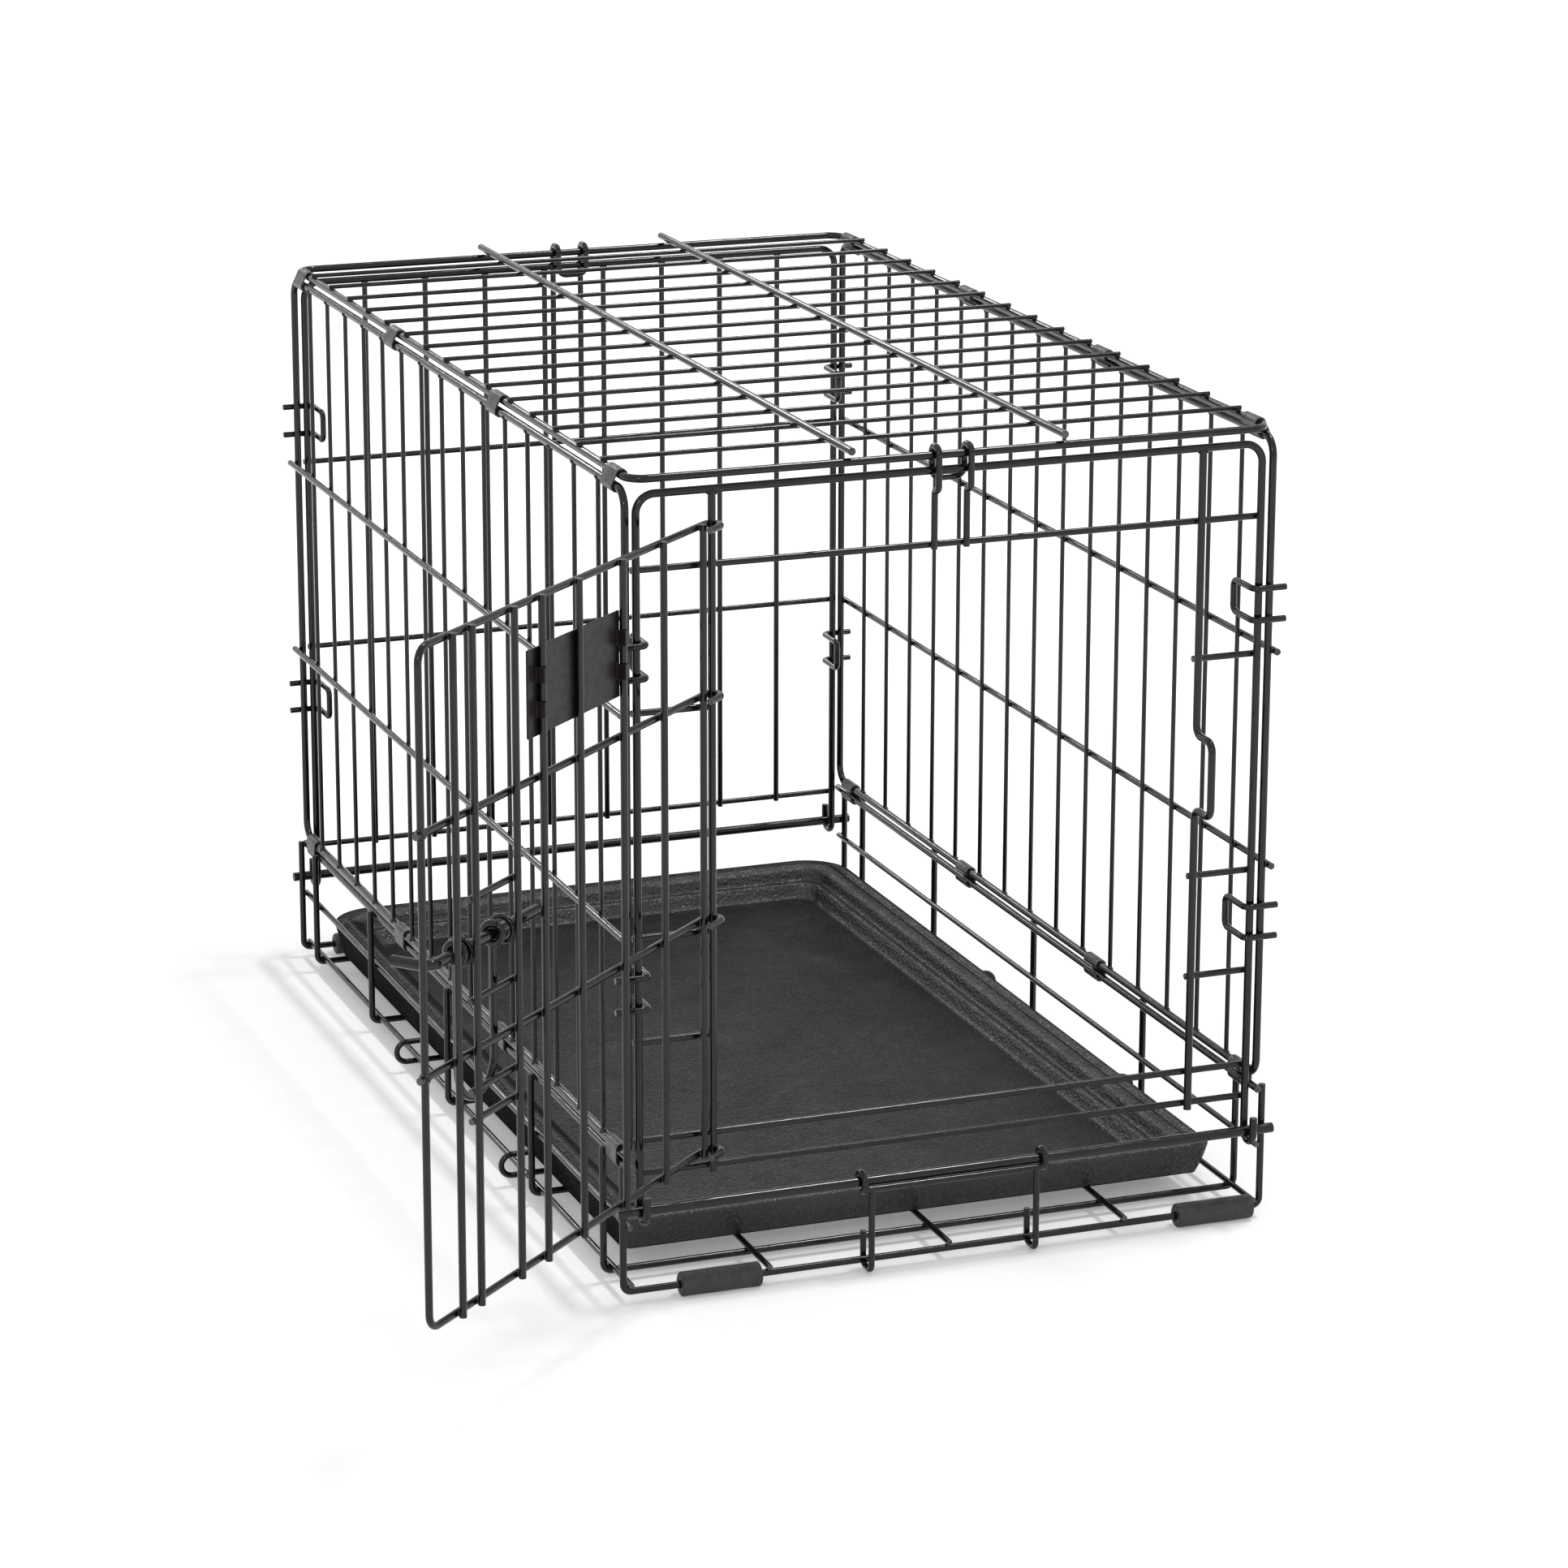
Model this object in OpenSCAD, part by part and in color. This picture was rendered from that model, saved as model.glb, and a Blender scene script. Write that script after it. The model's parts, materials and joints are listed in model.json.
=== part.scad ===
// Folding wire dog crate with an open front door, a slide-out tray and a hinged tray stop.
// Millimetres. +X to the crate's right seen from the front, +Y to the rear, +Z up.
// Origin: on the ground, under the middle of the crate.

/* [Crate size] */
// Outside length of the roof and side panels, front to back
crate_length = 559; // [480:1:760]
// Outside width of the roof and side panels
crate_width = 327; // [290:1:520]
// Height from the ground to the top of the two long roof wires
crate_height = 403; // [380:1:600]

/* [Wires] */
// Wire of the panel frames and the roof's long wires
frame_wire = 3.8; // [3:0.1:6]
// Thick rails that the end panels hinge on
hinge_wire = 5; // [4:0.1:7]
// Upright wires of the side panels and cross wires of the roof
fill_wire = 2.3; // [2:0.1:3.5]
// Long horizontal wires of the side panels
side_bar_wire = 3.4; // [2.6:0.1:5]
// Horizontal bars of the front panel
bar_wire = 3.2; // [2.6:0.1:5]
// Uprights and horizontals of the rear panel
rear_wire = 3; // [2.4:0.1:4.5]
// U-shaped cross frames of the base
base_wire = 3.4; // [2.6:0.1:5]
// Long floor wires and wall wires of the base
floor_wire = 3; // [2.4:0.1:4.5]
// Hooks and latches
hook_wire = 3.2; // [2.6:0.1:4.5]
// Depth that two crossing wires are welded into each other
weld_sink = 0.3; // [0.1:0.05:0.6]
// Radius of the rounded corners of the panel frames
corner_radius = 9; // [6:0.5:12]
// Radius that hooks, latches and the tray stop are bent to
hook_bend = 3.4; // [3:0.1:4.5]
// Distance that a cut wire stands past the middle of the wire it is welded to
stub = 1.6; // [1.4:0.1:2.2]
// Gap between neighbouring panels
panel_gap = 0.6; // [0.4:0.1:1]

/* [Roof and side panels] */
// Number of bays between the roof's cross wires
long_bays = 16; // [10:1:22]
// Distance of each long roof wire from the middle
roof_long_wire_x = 53; // [30:1:80]
// Distance that the long roof wires stand past the roof frame
roof_wire_stub = 3.2; // [2:0.1:5]
// Distance that the roof frame stands inside the side panels
roof_inset = 2.2; // [0:0.1:3]
// Height of the roof frame above the top rails of the side panels
roof_rise = 4.8; // [4.5:0.1:6]
// Height of the lower horizontal wire of the side panels
side_bar_low = 180.5; // [140:0.5:220]
// Height of the upper horizontal wire of the side panels
side_bar_high = 287; // [240:1:330]
// Height of the lower pair of ring hooks
ring_low = 153; // [130:1:165]
// Height of the upper pair of ring hooks
ring_high = 311; // [300:1:340]
// Height between the two strands of one ring hook
ring_gap = 15.5; // [12:0.5:22]
// Depth that a ring hook reaches back past its panel end
ring_depth = 19; // [14:0.5:26]

/* [Front panel] */
// Height of the bar over the doorway
door_head_bar = 352.7; // [300:0.1:372]
// Heights of the short bars beside the doorway
short_bars = [285.5, 177.7, 127]; // heights
// Heights of the two full bars under the doorway
sill_bars = [78.7, 62.5]; // heights
// Distance of the hinge post from the left edge of the panel
hinge_post_inset = 36.5; // [30:0.5:60]
// Distance of the latch post from the right edge of the panel
latch_post_inset = 30.7; // [26:0.1:50]
// Lower and upper height of the bump in the latch post
bump_low = 212; // [190:1:218]
bump_high = 249; // [242:1:270]
// Depth of the bump in front of the latch post
bump_depth = 17.5; // [14:0.5:24]
// Radius that the bump is bent to
bump_bend = 5; // [4:0.5:6]
// Distance that the posts stand below the lower full bar
post_stub = 2.4; // [2:0.1:4]
// Middle of the top latches, to the right of the crate's middle
top_latch_x = -2.3; // [-6:0.1:6]
// Distance between the two legs of a top latch
top_latch_width = 16.1; // [12:0.1:24]
// Gap between a top latch and the roof rail
latch_gap = 0.4; // [0.3:0.05:0.8]
// Distance that a top latch reaches down behind the end panel's top wire
latch_lip = 4.5; // [4.5:0.5:8]
// Radius of the latch's closed lower edge
latch_bend = 4.5; // [4:0.5:5.5]
// Height of the step in the front latch's legs above the door
latch_step = 8; // [6:0.5:10]

/* [Rear panel] */
// Number of bays between the rear panel's uprights
rear_bays = 9; // [6:1:12]
// Heights of the rear panel's horizontals
rear_bars = [287.3, 181.5, 65.5]; // heights

/* [Base] */
// Height of the hinge rails above the ground
hinge_height = 47; // [40:0.5:56]
// Height of the side rails of the base
base_rail_height = 67; // [60:0.5:80]
// Height of the wall wires of the base
wall_wire_height = 38; // [30:0.5:42]
// Distance of the outer floor wires from the middle one
floor_wire_x = 92; // [70:1:110]
// Distances of the inner U-shaped frames from the ends of the crate
cross_frame_inset = [139.5, 30]; // distances
// Positions of the hairpin ties along the base
tie_y = [-112, 70]; // positions
// Height that the hairpin ties turn back through
tie_rise = 11; // [9:0.5:14]
// Distance between the side rails of the base and the bottom rails of the side panels
side_rise = 5.8; // [5:0.1:7]
// Length of the sheet metal clips
clip_length = 15; // [10:0.5:18]
// Sheet thickness of the clips
clip_sheet = 1.1; // [0.8:0.1:1.5]
// Distances of the clips from the ends of the crate
clip_inset = [192.5, 19.5]; // distances
// Height that a clip's inner lips reach up from the middle of its rails
clip_lip = 1.1; // [0.8:0.1:1.6]
// Gap between a clip and its wires
clip_gap = 0.15; // [0.1:0.05:0.3]

/* [Door] */
// Angle that the door stands open
door_open = 138; // [60:1:150]
// Distance that the door's free edge stands past the latch post
door_lap = 5; // [4.2:0.1:8]
// Distance that the door's inner horizontals stand past its free edge
door_stub = 4.3; // [3:0.1:6]
// Heights of the four door horizontals, from the top
door_bars = [371.3, 291.3, 183.9, 70.2]; // heights
// Places of the door uprights, as parts of the door's width
door_upright_parts = [0.026, 0.1755, 0.3255, 0.4815, 0.611, 0.7045, 0.845, 0.9085]; // parts
// Radius of the two rounded corners of the door
door_bend = 7; // [5:0.5:12]
// Wire of the door
door_wire = 3.4; // [2.8:0.1:5]
// Gap between a hinge eye and the hinge post
eye_gap = 0.4; // [0.3:0.05:0.8]
// Length of the eye's short return strand
eye_return = 9; // [6:0.5:14]
// Wire of the short handle bars
handle_bar_wire = 3; // [2.4:0.1:3.6]
// Heights of the short handle bars
handle_bars = [252.3, 206.6, 166, 152.6]; // heights

/* [Bolt] */
// Wire of the bolt
bolt_wire = 5; // [4:0.1:6]
// Height of the bolt
bolt_height = 228.5; // [225:0.5:237]
// Length of the bolt behind its first guide ring
bolt_tail = 31; // [24:0.5:40]
// Distance of the bolt's bent end past the door's last upright
bolt_reach = 8.5; // [6:0.1:12]
// Distance that the bent end stands out from the bolt's middle line
bolt_tip = 19; // [12:0.5:24]
// Radius that the bolt's end is bent to
bolt_bend = 6; // [4:0.5:8]
// Distances of the handle's two eyes past the two guide rings
handle_steps = [7.7, 3.6]; // distances
// Height of the handle's lower end
handle_low = 158; // [150:1:185]
// Wire of the handle
handle_wire = 3.4; // [2.8:0.1:3.4]
// Wire of the guide rings
guide_wire = 2.6; // [2.2:0.1:3.6]
// Gap round the bolt in the handle's eyes
bolt_gap = 0.4; // [0.3:0.05:0.4]
// Gap between the bolt and the door's free edge
bolt_clear = 1; // [1:0.1:2]

/* [Name plate] */
// Distances of the plate's ends past the two uprights that carry it
plate_laps = [0.3, 9.5]; // distances
// Lower and upper edge of the plate
plate_z = [310.4, 349.8]; // heights
// Thickness of the plate
plate_sheet = 1.2; // [0.8:0.1:2]
// Gap between the plate, its tabs and the uprights
plate_gap = 0.05; // [0.05:0.05:0.1]
// Thickness of the plate's tabs
tab_sheet = 1; // [0.8:0.1:1.4]
// Width of the plate's tabs
tab_width = 7; // [5:0.5:10]
// Distance of the tabs from the plate's upper and lower edge
tab_inset = 12; // [8:0.5:14]

/* [Tray] */
// Distance of the tray's side edges from the outside of the side panels
tray_side_inset = 8; // [7:0.5:20]
// Distance of the tray's rear edge from the rear of the panels
tray_rear_inset = 7.5; // [7:0.5:20]
// Gap between the front of the tray and the front of the panels
tray_setback = 34.5; // [30:0.5:60]
// Height of the tray from its underside to the rim
tray_height = 17.5; // [14:0.5:24]
// Width of the tray's rim, from its outer edge to the flat floor
rim_width = 30; // [27:0.5:40]
// Thickness of the tray's floor
tray_sheet = 2.2; // [1.8:0.1:3]
// Gap between the tray and the floor wires
tray_gap = 0.3; // [0.2:0.05:1]

/* [Tray stop] */
// Distance between the legs of the tray stop
stop_width = 85; // [60:1:120]
// Distance of each curl outside its leg
curl_step = 4; // [4:0.5:8]
// Gap between the stop's curls and the front rail
stop_gap = 0.4; // [0.3:0.05:0.8]
// Height that the return strands of the legs reach
stop_return = 19; // [14:0.5:26]

/* [Feet] */
// Outside diameter of the rubber sleeves
foot_diameter = 12; // [10:0.5:16]
// Length of the rubber sleeves
foot_length = 40; // [30:1:48]
// Distances of the front left and front right sleeve from the sides of the base
front_feet_inset = [48.2, 25]; // distances
// Distance of the rear sleeves from the sides of the base
rear_feet_inset = 38; // [30:0.5:50]
// Gap between a sleeve and its wire
foot_gap = 0.1; // [0.05:0.05:0.2]

/* [Hidden] */
$fn = 24;
rf = frame_wire / 2;
rh = hinge_wire / 2;
rs = fill_wire / 2;
rsb = side_bar_wire / 2;
rb = bar_wire / 2;
rr = rear_wire / 2;
ru = base_wire / 2;
rw = floor_wire / 2;
rk = hook_wire / 2;
rd = door_wire / 2;
rt = bolt_wire / 2;
rg = guide_wire / 2;
rl = handle_wire / 2;
rn = handle_bar_wire / 2;
xs = crate_width / 2 - rf;
ye = crate_length / 2 - rf;
pitch = 2 * ye / long_bays;
z_long = crate_height - rf;
z_cross = z_long - rf - rs + weld_sink;
z_roof = z_cross - rs - rf + weld_sink;
z_side_top = z_roof - roof_rise;
z_side_low = base_rail_height + side_rise;
x_roof = xs - roof_inset;
end_drop = 7.2;
z_end_top = z_roof - end_drop;
x_end = xs - 5.4;
y_end = ye - panel_gap;
curl_radius = rf + 0.8 + rh;
y_rail = y_end + curl_radius;
y_cross_end = y_rail - rh - ru + weld_sink;
x_cross = xs + rf + ru - weld_sink;
z_floor = foot_diameter / 2;
z_wires = z_floor + ru + rw - weld_sink;
cross_bend = 4;
x_wire_side = x_cross - cross_bend + 0.3;
cross_frame_y = [for (d = cross_frame_inset) crate_length / 2 - d];
clip_y = [for (d = clip_inset) crate_length / 2 - d];
hinge_post_x = x_end - hinge_post_inset;
latch_post_x = x_end - latch_post_inset;
door_width = hinge_post_x + latch_post_x + door_lap;
door_uprights = [for (f = door_upright_parts) round(10 * f * door_width) / 10];
bolt_u = [door_uprights[5] - bolt_tail, door_uprights[7] + bolt_reach];
handle_u = [door_uprights[5] + handle_steps[0], door_uprights[6] + handle_steps[1]];
plate_u = [door_uprights[2] + plate_laps[0], door_uprights[4] + plate_laps[1]];
tray_width = crate_width - 2 * tray_side_inset;
tray_length = crate_length - tray_setback - tray_rear_inset;
front_feet_x = [front_feet_inset[0] - x_cross, x_cross - front_feet_inset[1]];
rear_feet_x = [rear_feet_inset - x_cross, x_cross - rear_feet_inset];
eye_radius = rf + eye_gap + rd;
door_inner = eye_radius - 2 * rd + weld_sink;
bolt_off = eye_radius + rd + bolt_clear + rt;
y_bars = y_end - rf - rb + weld_sink;
z_tray = z_wires + rw + tray_gap;
y_tray = -crate_length / 2 + tray_setback;

function unit(v) = v / norm(v);

// A straight round wire between two points
module rod(a, b, r) {
  v = b - a;
  l = norm(v);
  if (l > 0.001)
    translate(a) rotate([0, acos(v[2] / l), atan2(v[1], v[0])]) cylinder(h = l, r = r);
}

// A bent round wire through points, each corner turned on the radius given for it
module wire(p, r, bends) {
  n = len(p);
  tan_len = [for (i = [0:n - 1]) (i == 0 || i == n - 1) ? 0 :
    bends[i - 1] * tan(acos(max(-1, min(1, unit(p[i] - p[i - 1]) * unit(p[i + 1] - p[i])))) / 2)];
  for (i = [0:n - 2]) {
    u = unit(p[i + 1] - p[i]);
    rod(p[i] + u * tan_len[i], p[i + 1] - u * tan_len[i + 1], r);
  }
  for (i = [1:n - 2]) {
    u = unit(p[i] - p[i - 1]);
    v = unit(p[i + 1] - p[i]);
    turn = acos(u * v);
    br = bends[i - 1];
    c = p[i] + unit(v - u) * (br / cos(turn / 2));
    s = (p[i] - u * tan_len[i] - c) / br;
    z = cross(s, u);
    multmatrix([[s[0], u[0], z[0], c[0]], [s[1], u[1], z[1], c[1]], [s[2], u[2], z[2], c[2]], [0, 0, 0, 1]])
      rotate_extrude(angle = turn) translate([br, 0]) circle(r = r);
  }
}

// A closed rectangular ring of wire in a plane through four corners
module wire_loop(q, r, br) {
  m = (q[0] + q[1]) / 2;
  wire([m, q[1], q[2], q[3], q[0], m], r, [br, br, br, br]);
}

// ---------- base ----------
module hinge_rail(side) {
  e = x_cross + ru + 2.2;
  color("#2b2b2d") rod([-e, side * y_rail, hinge_height], [e, side * y_rail, hinge_height], rh);
}
module front_hinge_rail() hinge_rail(-1);
module rear_hinge_rail() hinge_rail(1);

module base_side_rails() color("#2b2b2d") for (s = [-1, 1])
  rod([s * xs, -y_cross_end - ru - 0.6, base_rail_height],
      [s * xs, y_cross_end + ru + 0.6, base_rail_height], rf);

module base_wall_wires() color("#2b2b2d") for (s = [-1, 1]) {
  x = x_cross - ru - rw + weld_sink;
  rod([s * x, -y_cross_end - ru, wall_wire_height], [s * x, y_cross_end + ru, wall_wire_height], rw);
}

module cross_frame(y) {
  zt = base_rail_height + stub;
  wire([[-x_cross, y, zt], [-x_cross, y, z_floor], [x_cross, y, z_floor], [x_cross, y, zt]],
       ru, [cross_bend, cross_bend]);
}
module base_cross_frames() color("#2b2b2d") {
  cross_frame(0);
  for (s = [-1, 1]) {
    for (y = cross_frame_y) cross_frame(s * y);
    cross_frame(s * y_cross_end);
  }
}

module base_floor_wires() color("#2b2b2d") {
  for (x = [-floor_wire_x, 0, floor_wire_x])
    rod([x, -y_cross_end - 1.4, z_wires], [x, y_cross_end + 1.4, z_wires], rw);
  for (s = [-1, 1])
    rod([s * x_wire_side, -y_cross_end - 1.4, z_wires], [s * x_wire_side, y_cross_end + 1.4, z_wires], rw);
}

module base_hairpin_ties() color("#2b2b2d") for (y = tie_y) {
  h = tie_rise / 2;
  xo = x_cross + 1.4;
  wire([[-x_cross + 7.5, y, z_floor + tie_rise], [-xo - h, y, z_floor + tie_rise], [-xo - h, y, z_floor],
        [xo + h, y, z_floor], [xo + h, y, z_floor + tie_rise], [x_cross - 7.5, y, z_floor + tie_rise]],
       rw, [h - 0.01, h - 0.01, h - 0.01, h - 0.01]);
}

module foot(x, y) translate([x, y, z_floor]) rotate([0, 90, 0]) difference() {
  cylinder(h = foot_length, d = foot_diameter, center = true, $fn = 48);
  cylinder(h = foot_length + 2, r = ru + foot_gap, center = true, $fn = 48);
}
module front_feet() color("#232324") for (x = front_feet_x) foot(x, -y_cross_end);
module rear_feet() color("#232324") for (x = rear_feet_x) foot(x, y_cross_end);

// ---------- side panels ----------
module side_frame(s) color("#2b2b2d")
  wire_loop([[s * xs, -ye, z_side_low], [s * xs, ye, z_side_low],
             [s * xs, ye, z_side_top], [s * xs, -ye, z_side_top]],
            rf, corner_radius);
module side_uprights(s) color("#2b2b2d") for (i = [1:long_bays - 1]) {
  x = xs + rf - rs;
  rod([s * x, -ye + i * pitch, z_side_low], [s * x, -ye + i * pitch, z_side_top], rs);
}
module side_bars(s) color("#2b2b2d") for (z = [side_bar_low, side_bar_high]) {
  x = xs + rf + rsb - weld_sink;
  rod([s * x, -ye - 4, z], [s * x, ye + 4, z], rsb);
}
module ring_hook(s, t, z) {
  y = ye + rf + rk - weld_sink;
  xi = x_end - rf - panel_gap - rk;
  z0 = z - ring_gap / 2;
  z1 = z + ring_gap / 2;
  wire([[s * (xs + 7), t * y, z0], [s * xi, t * y, z0], [s * xi, t * (ye - ring_depth), z0],
        [s * xi, t * (ye - ring_depth), z1], [s * xi, t * y, z1], [s * (xs + 7), t * y, z1]],
       rk, [hook_bend, hook_bend, hook_bend, hook_bend]);
}
module ring_hooks(s) color("#2b2b2d") for (t = [-1, 1]) for (z = [ring_low, ring_high]) ring_hook(s, t, z);
module left_side_frame() side_frame(-1);
module right_side_frame() side_frame(1);
module left_side_uprights() side_uprights(-1);
module right_side_uprights() side_uprights(1);
module left_side_bars() side_bars(-1);
module right_side_bars() side_bars(1);
module left_ring_hooks() ring_hooks(-1);
module right_ring_hooks() ring_hooks(1);

// ---------- roof ----------
module roof_frame() color("#2b2b2d")
  wire_loop([[-x_roof, -ye, z_roof], [x_roof, -ye, z_roof], [x_roof, ye, z_roof], [-x_roof, ye, z_roof]],
            rf, corner_radius);
module roof_cross_wires() color("#2b2b2d") for (i = [1:long_bays - 1]) {
  e = x_roof + stub;
  rod([-e, -ye + i * pitch, z_cross], [e, -ye + i * pitch, z_cross], rs);
}
module roof_long_wires() color("#2b2b2d") for (s = [-1, 1])
  rod([s * roof_long_wire_x, -ye - roof_wire_stub, z_long],
      [s * roof_long_wire_x, ye + roof_wire_stub, z_long], rf);

// ---------- sheet metal clips round two neighbouring rails ----------
module clip_outline(rise, grow) {
  r = rf + clip_gap + grow;
  circle(r = r);
  translate([0, rise]) circle(r = r);
  translate([-r, 0]) square([2 * r, rise]);
}
// A clip stands on its lower rail and leans inwards to its upper one
module clip(s, y, z, rise, inset) {
  span = sqrt(rise * rise + inset * inset);
  mouth = 2 * rf + clip_gap + clip_sheet;
  translate([s * xs, y + clip_length / 2, z]) rotate([90, 0, 0]) linear_extrude(height = clip_length)
    rotate(s * atan2(inset, rise)) difference() {
      clip_outline(span, clip_sheet);
      clip_outline(span, 0);
      translate([s > 0 ? -mouth : 0, clip_lip]) square([mouth, span - 2 * clip_lip]);
    }
}
module clips(s, z, rise, inset) color("#3a3a3d")
  for (y = clip_y) for (t = [-1, 1]) clip(s, t * y, z, rise, inset);
module left_base_clips() clips(-1, base_rail_height, side_rise, 0);
module right_base_clips() clips(1, base_rail_height, side_rise, 0);
module left_roof_clips() clips(-1, z_side_top, roof_rise, roof_inset);
module right_roof_clips() clips(1, z_side_top, roof_rise, roof_inset);

// ---------- front and rear panels ----------
// Inverted U whose lower ends curl round the hinge rail
module end_frame(t) {
  yo = y_rail + curl_radius;
  b = curl_radius - 0.01;
  wire([[-x_end, t * yo, hinge_height + 8], [-x_end, t * yo, hinge_height - curl_radius],
        [-x_end, t * y_end, hinge_height - curl_radius], [-x_end, t * y_end, z_end_top],
        [x_end, t * y_end, z_end_top], [x_end, t * y_end, hinge_height - curl_radius],
        [x_end, t * yo, hinge_height - curl_radius], [x_end, t * yo, hinge_height + 8]],
       rf, [b, b, corner_radius, corner_radius, b, b]);
}
module front_frame() color("#2b2b2d") end_frame(-1);
module front_full_bars() color("#2b2b2d") for (z = concat([door_head_bar], sill_bars))
  rod([-x_end - stub, -y_bars, z], [x_end + stub, -y_bars, z], rb);
module front_left_bars() color("#2b2b2d") for (z = short_bars)
  rod([-x_end - stub, -y_bars, z], [-hinge_post_x + stub, -y_bars, z], rb);
module front_right_bars() color("#2b2b2d") for (z = short_bars)
  rod([latch_post_x - stub, -y_bars, z], [x_end + stub, -y_bars, z], rb);
module hinge_post() color("#2b2b2d")
  rod([-hinge_post_x, -y_end, min(sill_bars) - post_stub], [-hinge_post_x, -y_end, z_end_top], rf);
module latch_post() color("#2b2b2d") {
  x = latch_post_x;
  yo = y_end + bump_depth;
  wire([[x, -y_end, min(sill_bars) - post_stub], [x, -y_end, bump_low], [x, -yo, bump_low],
        [x, -yo, bump_high], [x, -y_end, bump_high], [x, -y_end, z_end_top]], rf, [bump_bend, bump_bend, bump_bend, bump_bend]);
}
// Spring wire latch: two legs joined by a hook over the roof rail
module top_latch(t, y_out, feet, foot_bend) {
  y_in = y_end - rf - panel_gap - rk;
  z_over = z_roof + rf + latch_gap + rk;
  z_in = z_end_top - latch_lip;
  x0 = top_latch_x - top_latch_width / 2;
  x1 = top_latch_x + top_latch_width / 2;
  half = concat(feet, [[y_out, z_over], [y_in, z_over], [y_in, z_in]]);
  n = len(half);
  pts = concat([for (q = half) [x0, t * q[0], q[1]]],
               [for (i = [n - 1:-1:0]) [x1, t * half[i][0], half[i][1]]]);
  foot_bends = [for (i = [1:1:len(feet) - 1]) foot_bend];
  wire(pts, rk, concat(foot_bends, [hook_bend, hook_bend, latch_bend, latch_bend, hook_bend, hook_bend],
                       foot_bends));
}
module front_top_latch() color("#2b2b2d") {
  yb = y_bars + rb + rk - weld_sink;
  y_out = ye + rf + rk + latch_gap;
  z_step = door_bars[0] + latch_step;
  top_latch(-1, y_out, [[yb, door_head_bar - stub], [yb, z_step], [y_out, z_step]], (y_out - yb) / 2 - 0.01);
}
module rear_frame() color("#2b2b2d") end_frame(1);
module rear_uprights() color("#2b2b2d") for (i = [1:rear_bays - 1]) {
  x = -x_end + i * 2 * x_end / rear_bays;
  y = y_end + rf - rr;
  rod([x, y, min(rear_bars) - stub], [x, y, z_end_top], rr);
}
module rear_bars_set() color("#2b2b2d") for (z = rear_bars) {
  y = y_end + rf + rr - weld_sink;
  rod([-x_end - stub, y, z], [x_end + stub, y, z], rr);
}
module rear_top_latch() color("#2b2b2d") {
  yb = y_end + rf + 2 * rr + rk - 2 * weld_sink;
  top_latch(1, yb, [[yb, max(rear_bars) - stub]], 0);
}

// ---------- door, drawn closed and then swung open about the hinge post ----------
module on_door() translate([-hinge_post_x, -y_end, 0]) rotate([0, 0, -door_open]) children();
// In the door's own frame: x runs from the hinge post to the free edge, -y is the outer side.
module hinge_eye(z) {
  e = eye_radius;
  translate([0, 0, z]) rotate([0, 0, 90]) rotate_extrude(angle = 180) translate([e, 0]) circle(r = rd);
  rod([0, e, z], [eye_return, e, z], rd);
}
module door_frame() color("#2b2b2d") on_door() {
  e = eye_radius;
  zt = door_bars[0];
  zb = door_bars[3];
  wire([[0, -e, zt], [door_width, -e, zt], [door_width, -e, zb], [0, -e, zb]], rd, [door_bend, door_bend]);
  hinge_eye(zt);
  hinge_eye(zb);
}
module door_horizontals() color("#2b2b2d") on_door() for (z = [door_bars[1], door_bars[2]]) {
  rod([0, -eye_radius, z], [door_width + door_stub, -eye_radius, z], rd);
  hinge_eye(z);
}
module door_upright_wires() color("#2b2b2d") on_door() for (u = door_uprights)
  rod([u, -door_inner, door_bars[3] - stub], [u, -door_inner, door_bars[0] + stub], rd);
module door_handle_bars() color("#2b2b2d") on_door() for (z = handle_bars) {
  y = -door_inner - rd - rn + weld_sink;
  rod([door_uprights[5] - stub, y, z], [door_uprights[6] + stub, y, z], rn);
}
module bolt_guides() color("#2b2b2d") on_door() for (i = [5, 6]) {
  ring = bolt_off - door_inner - rd - rg + weld_sink;
  translate([door_uprights[i], -bolt_off, bolt_height]) rotate([0, 90, 0])
    rotate_extrude() translate([ring, 0]) circle(r = rg);
}
// Plate in front of two uprights, held by four tabs that reach round behind them
module name_plate() color("#2c2623") on_door() {
  y1 = -door_inner - rd - plate_gap;
  difference() {
    translate([plate_u[0], y1 - plate_sheet, plate_z[0]])
      cube([plate_u[1] - plate_u[0], plate_sheet, plate_z[1] - plate_z[0]]);
    for (z = [plate_z[0] + tab_inset, plate_z[1] - tab_inset]) for (u = [door_uprights[2], door_uprights[4]])
      translate([u + rd + 4, y1 - plate_sheet - 1, z - tab_width / 2 - 0.5])
        cube([3, plate_sheet + 2, tab_width + 1]);
  }
  for (z = [plate_z[0] + tab_inset, plate_z[1] - tab_inset]) for (u = [door_uprights[2], door_uprights[4]])
    translate([u + rd + plate_gap, 0, z - tab_width / 2]) {
      translate([0, y1 - 0.2, 0]) cube([tab_sheet, 2 * rd + 0.2 + tab_sheet + 0.1, tab_width]);
      translate([-rd - 0.6, y1 + 2 * rd + 2 * plate_gap, 0]) cube([rd + stub, tab_sheet, tab_width]);
    }
}
module bolt() color("#303033") on_door()
  wire([[bolt_u[0], -bolt_off, bolt_height], [bolt_u[1], -bolt_off, bolt_height],
        [bolt_u[1], -bolt_off - bolt_tip, bolt_height]], rt, [bolt_bend]);
// Loop that hangs from the bolt by two eyes
module bolt_handle() color("#303033") on_door() {
  y = -bolt_off;
  bend = (handle_u[1] - handle_u[0]) / 2 - 0.01;
  eye = rt + bolt_gap + rl;
  zt = bolt_height - eye;
  zb = handle_low + rl;
  wire([[handle_u[0], y, zt], [handle_u[0], y, zb], [handle_u[1], y, zb], [handle_u[1], y, zt]],
       rl, [bend, bend]);
  for (u = handle_u) translate([u, y, bolt_height]) rotate([0, 90, 0])
    rotate_extrude() translate([eye, 0]) circle(r = rl);
}

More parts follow.
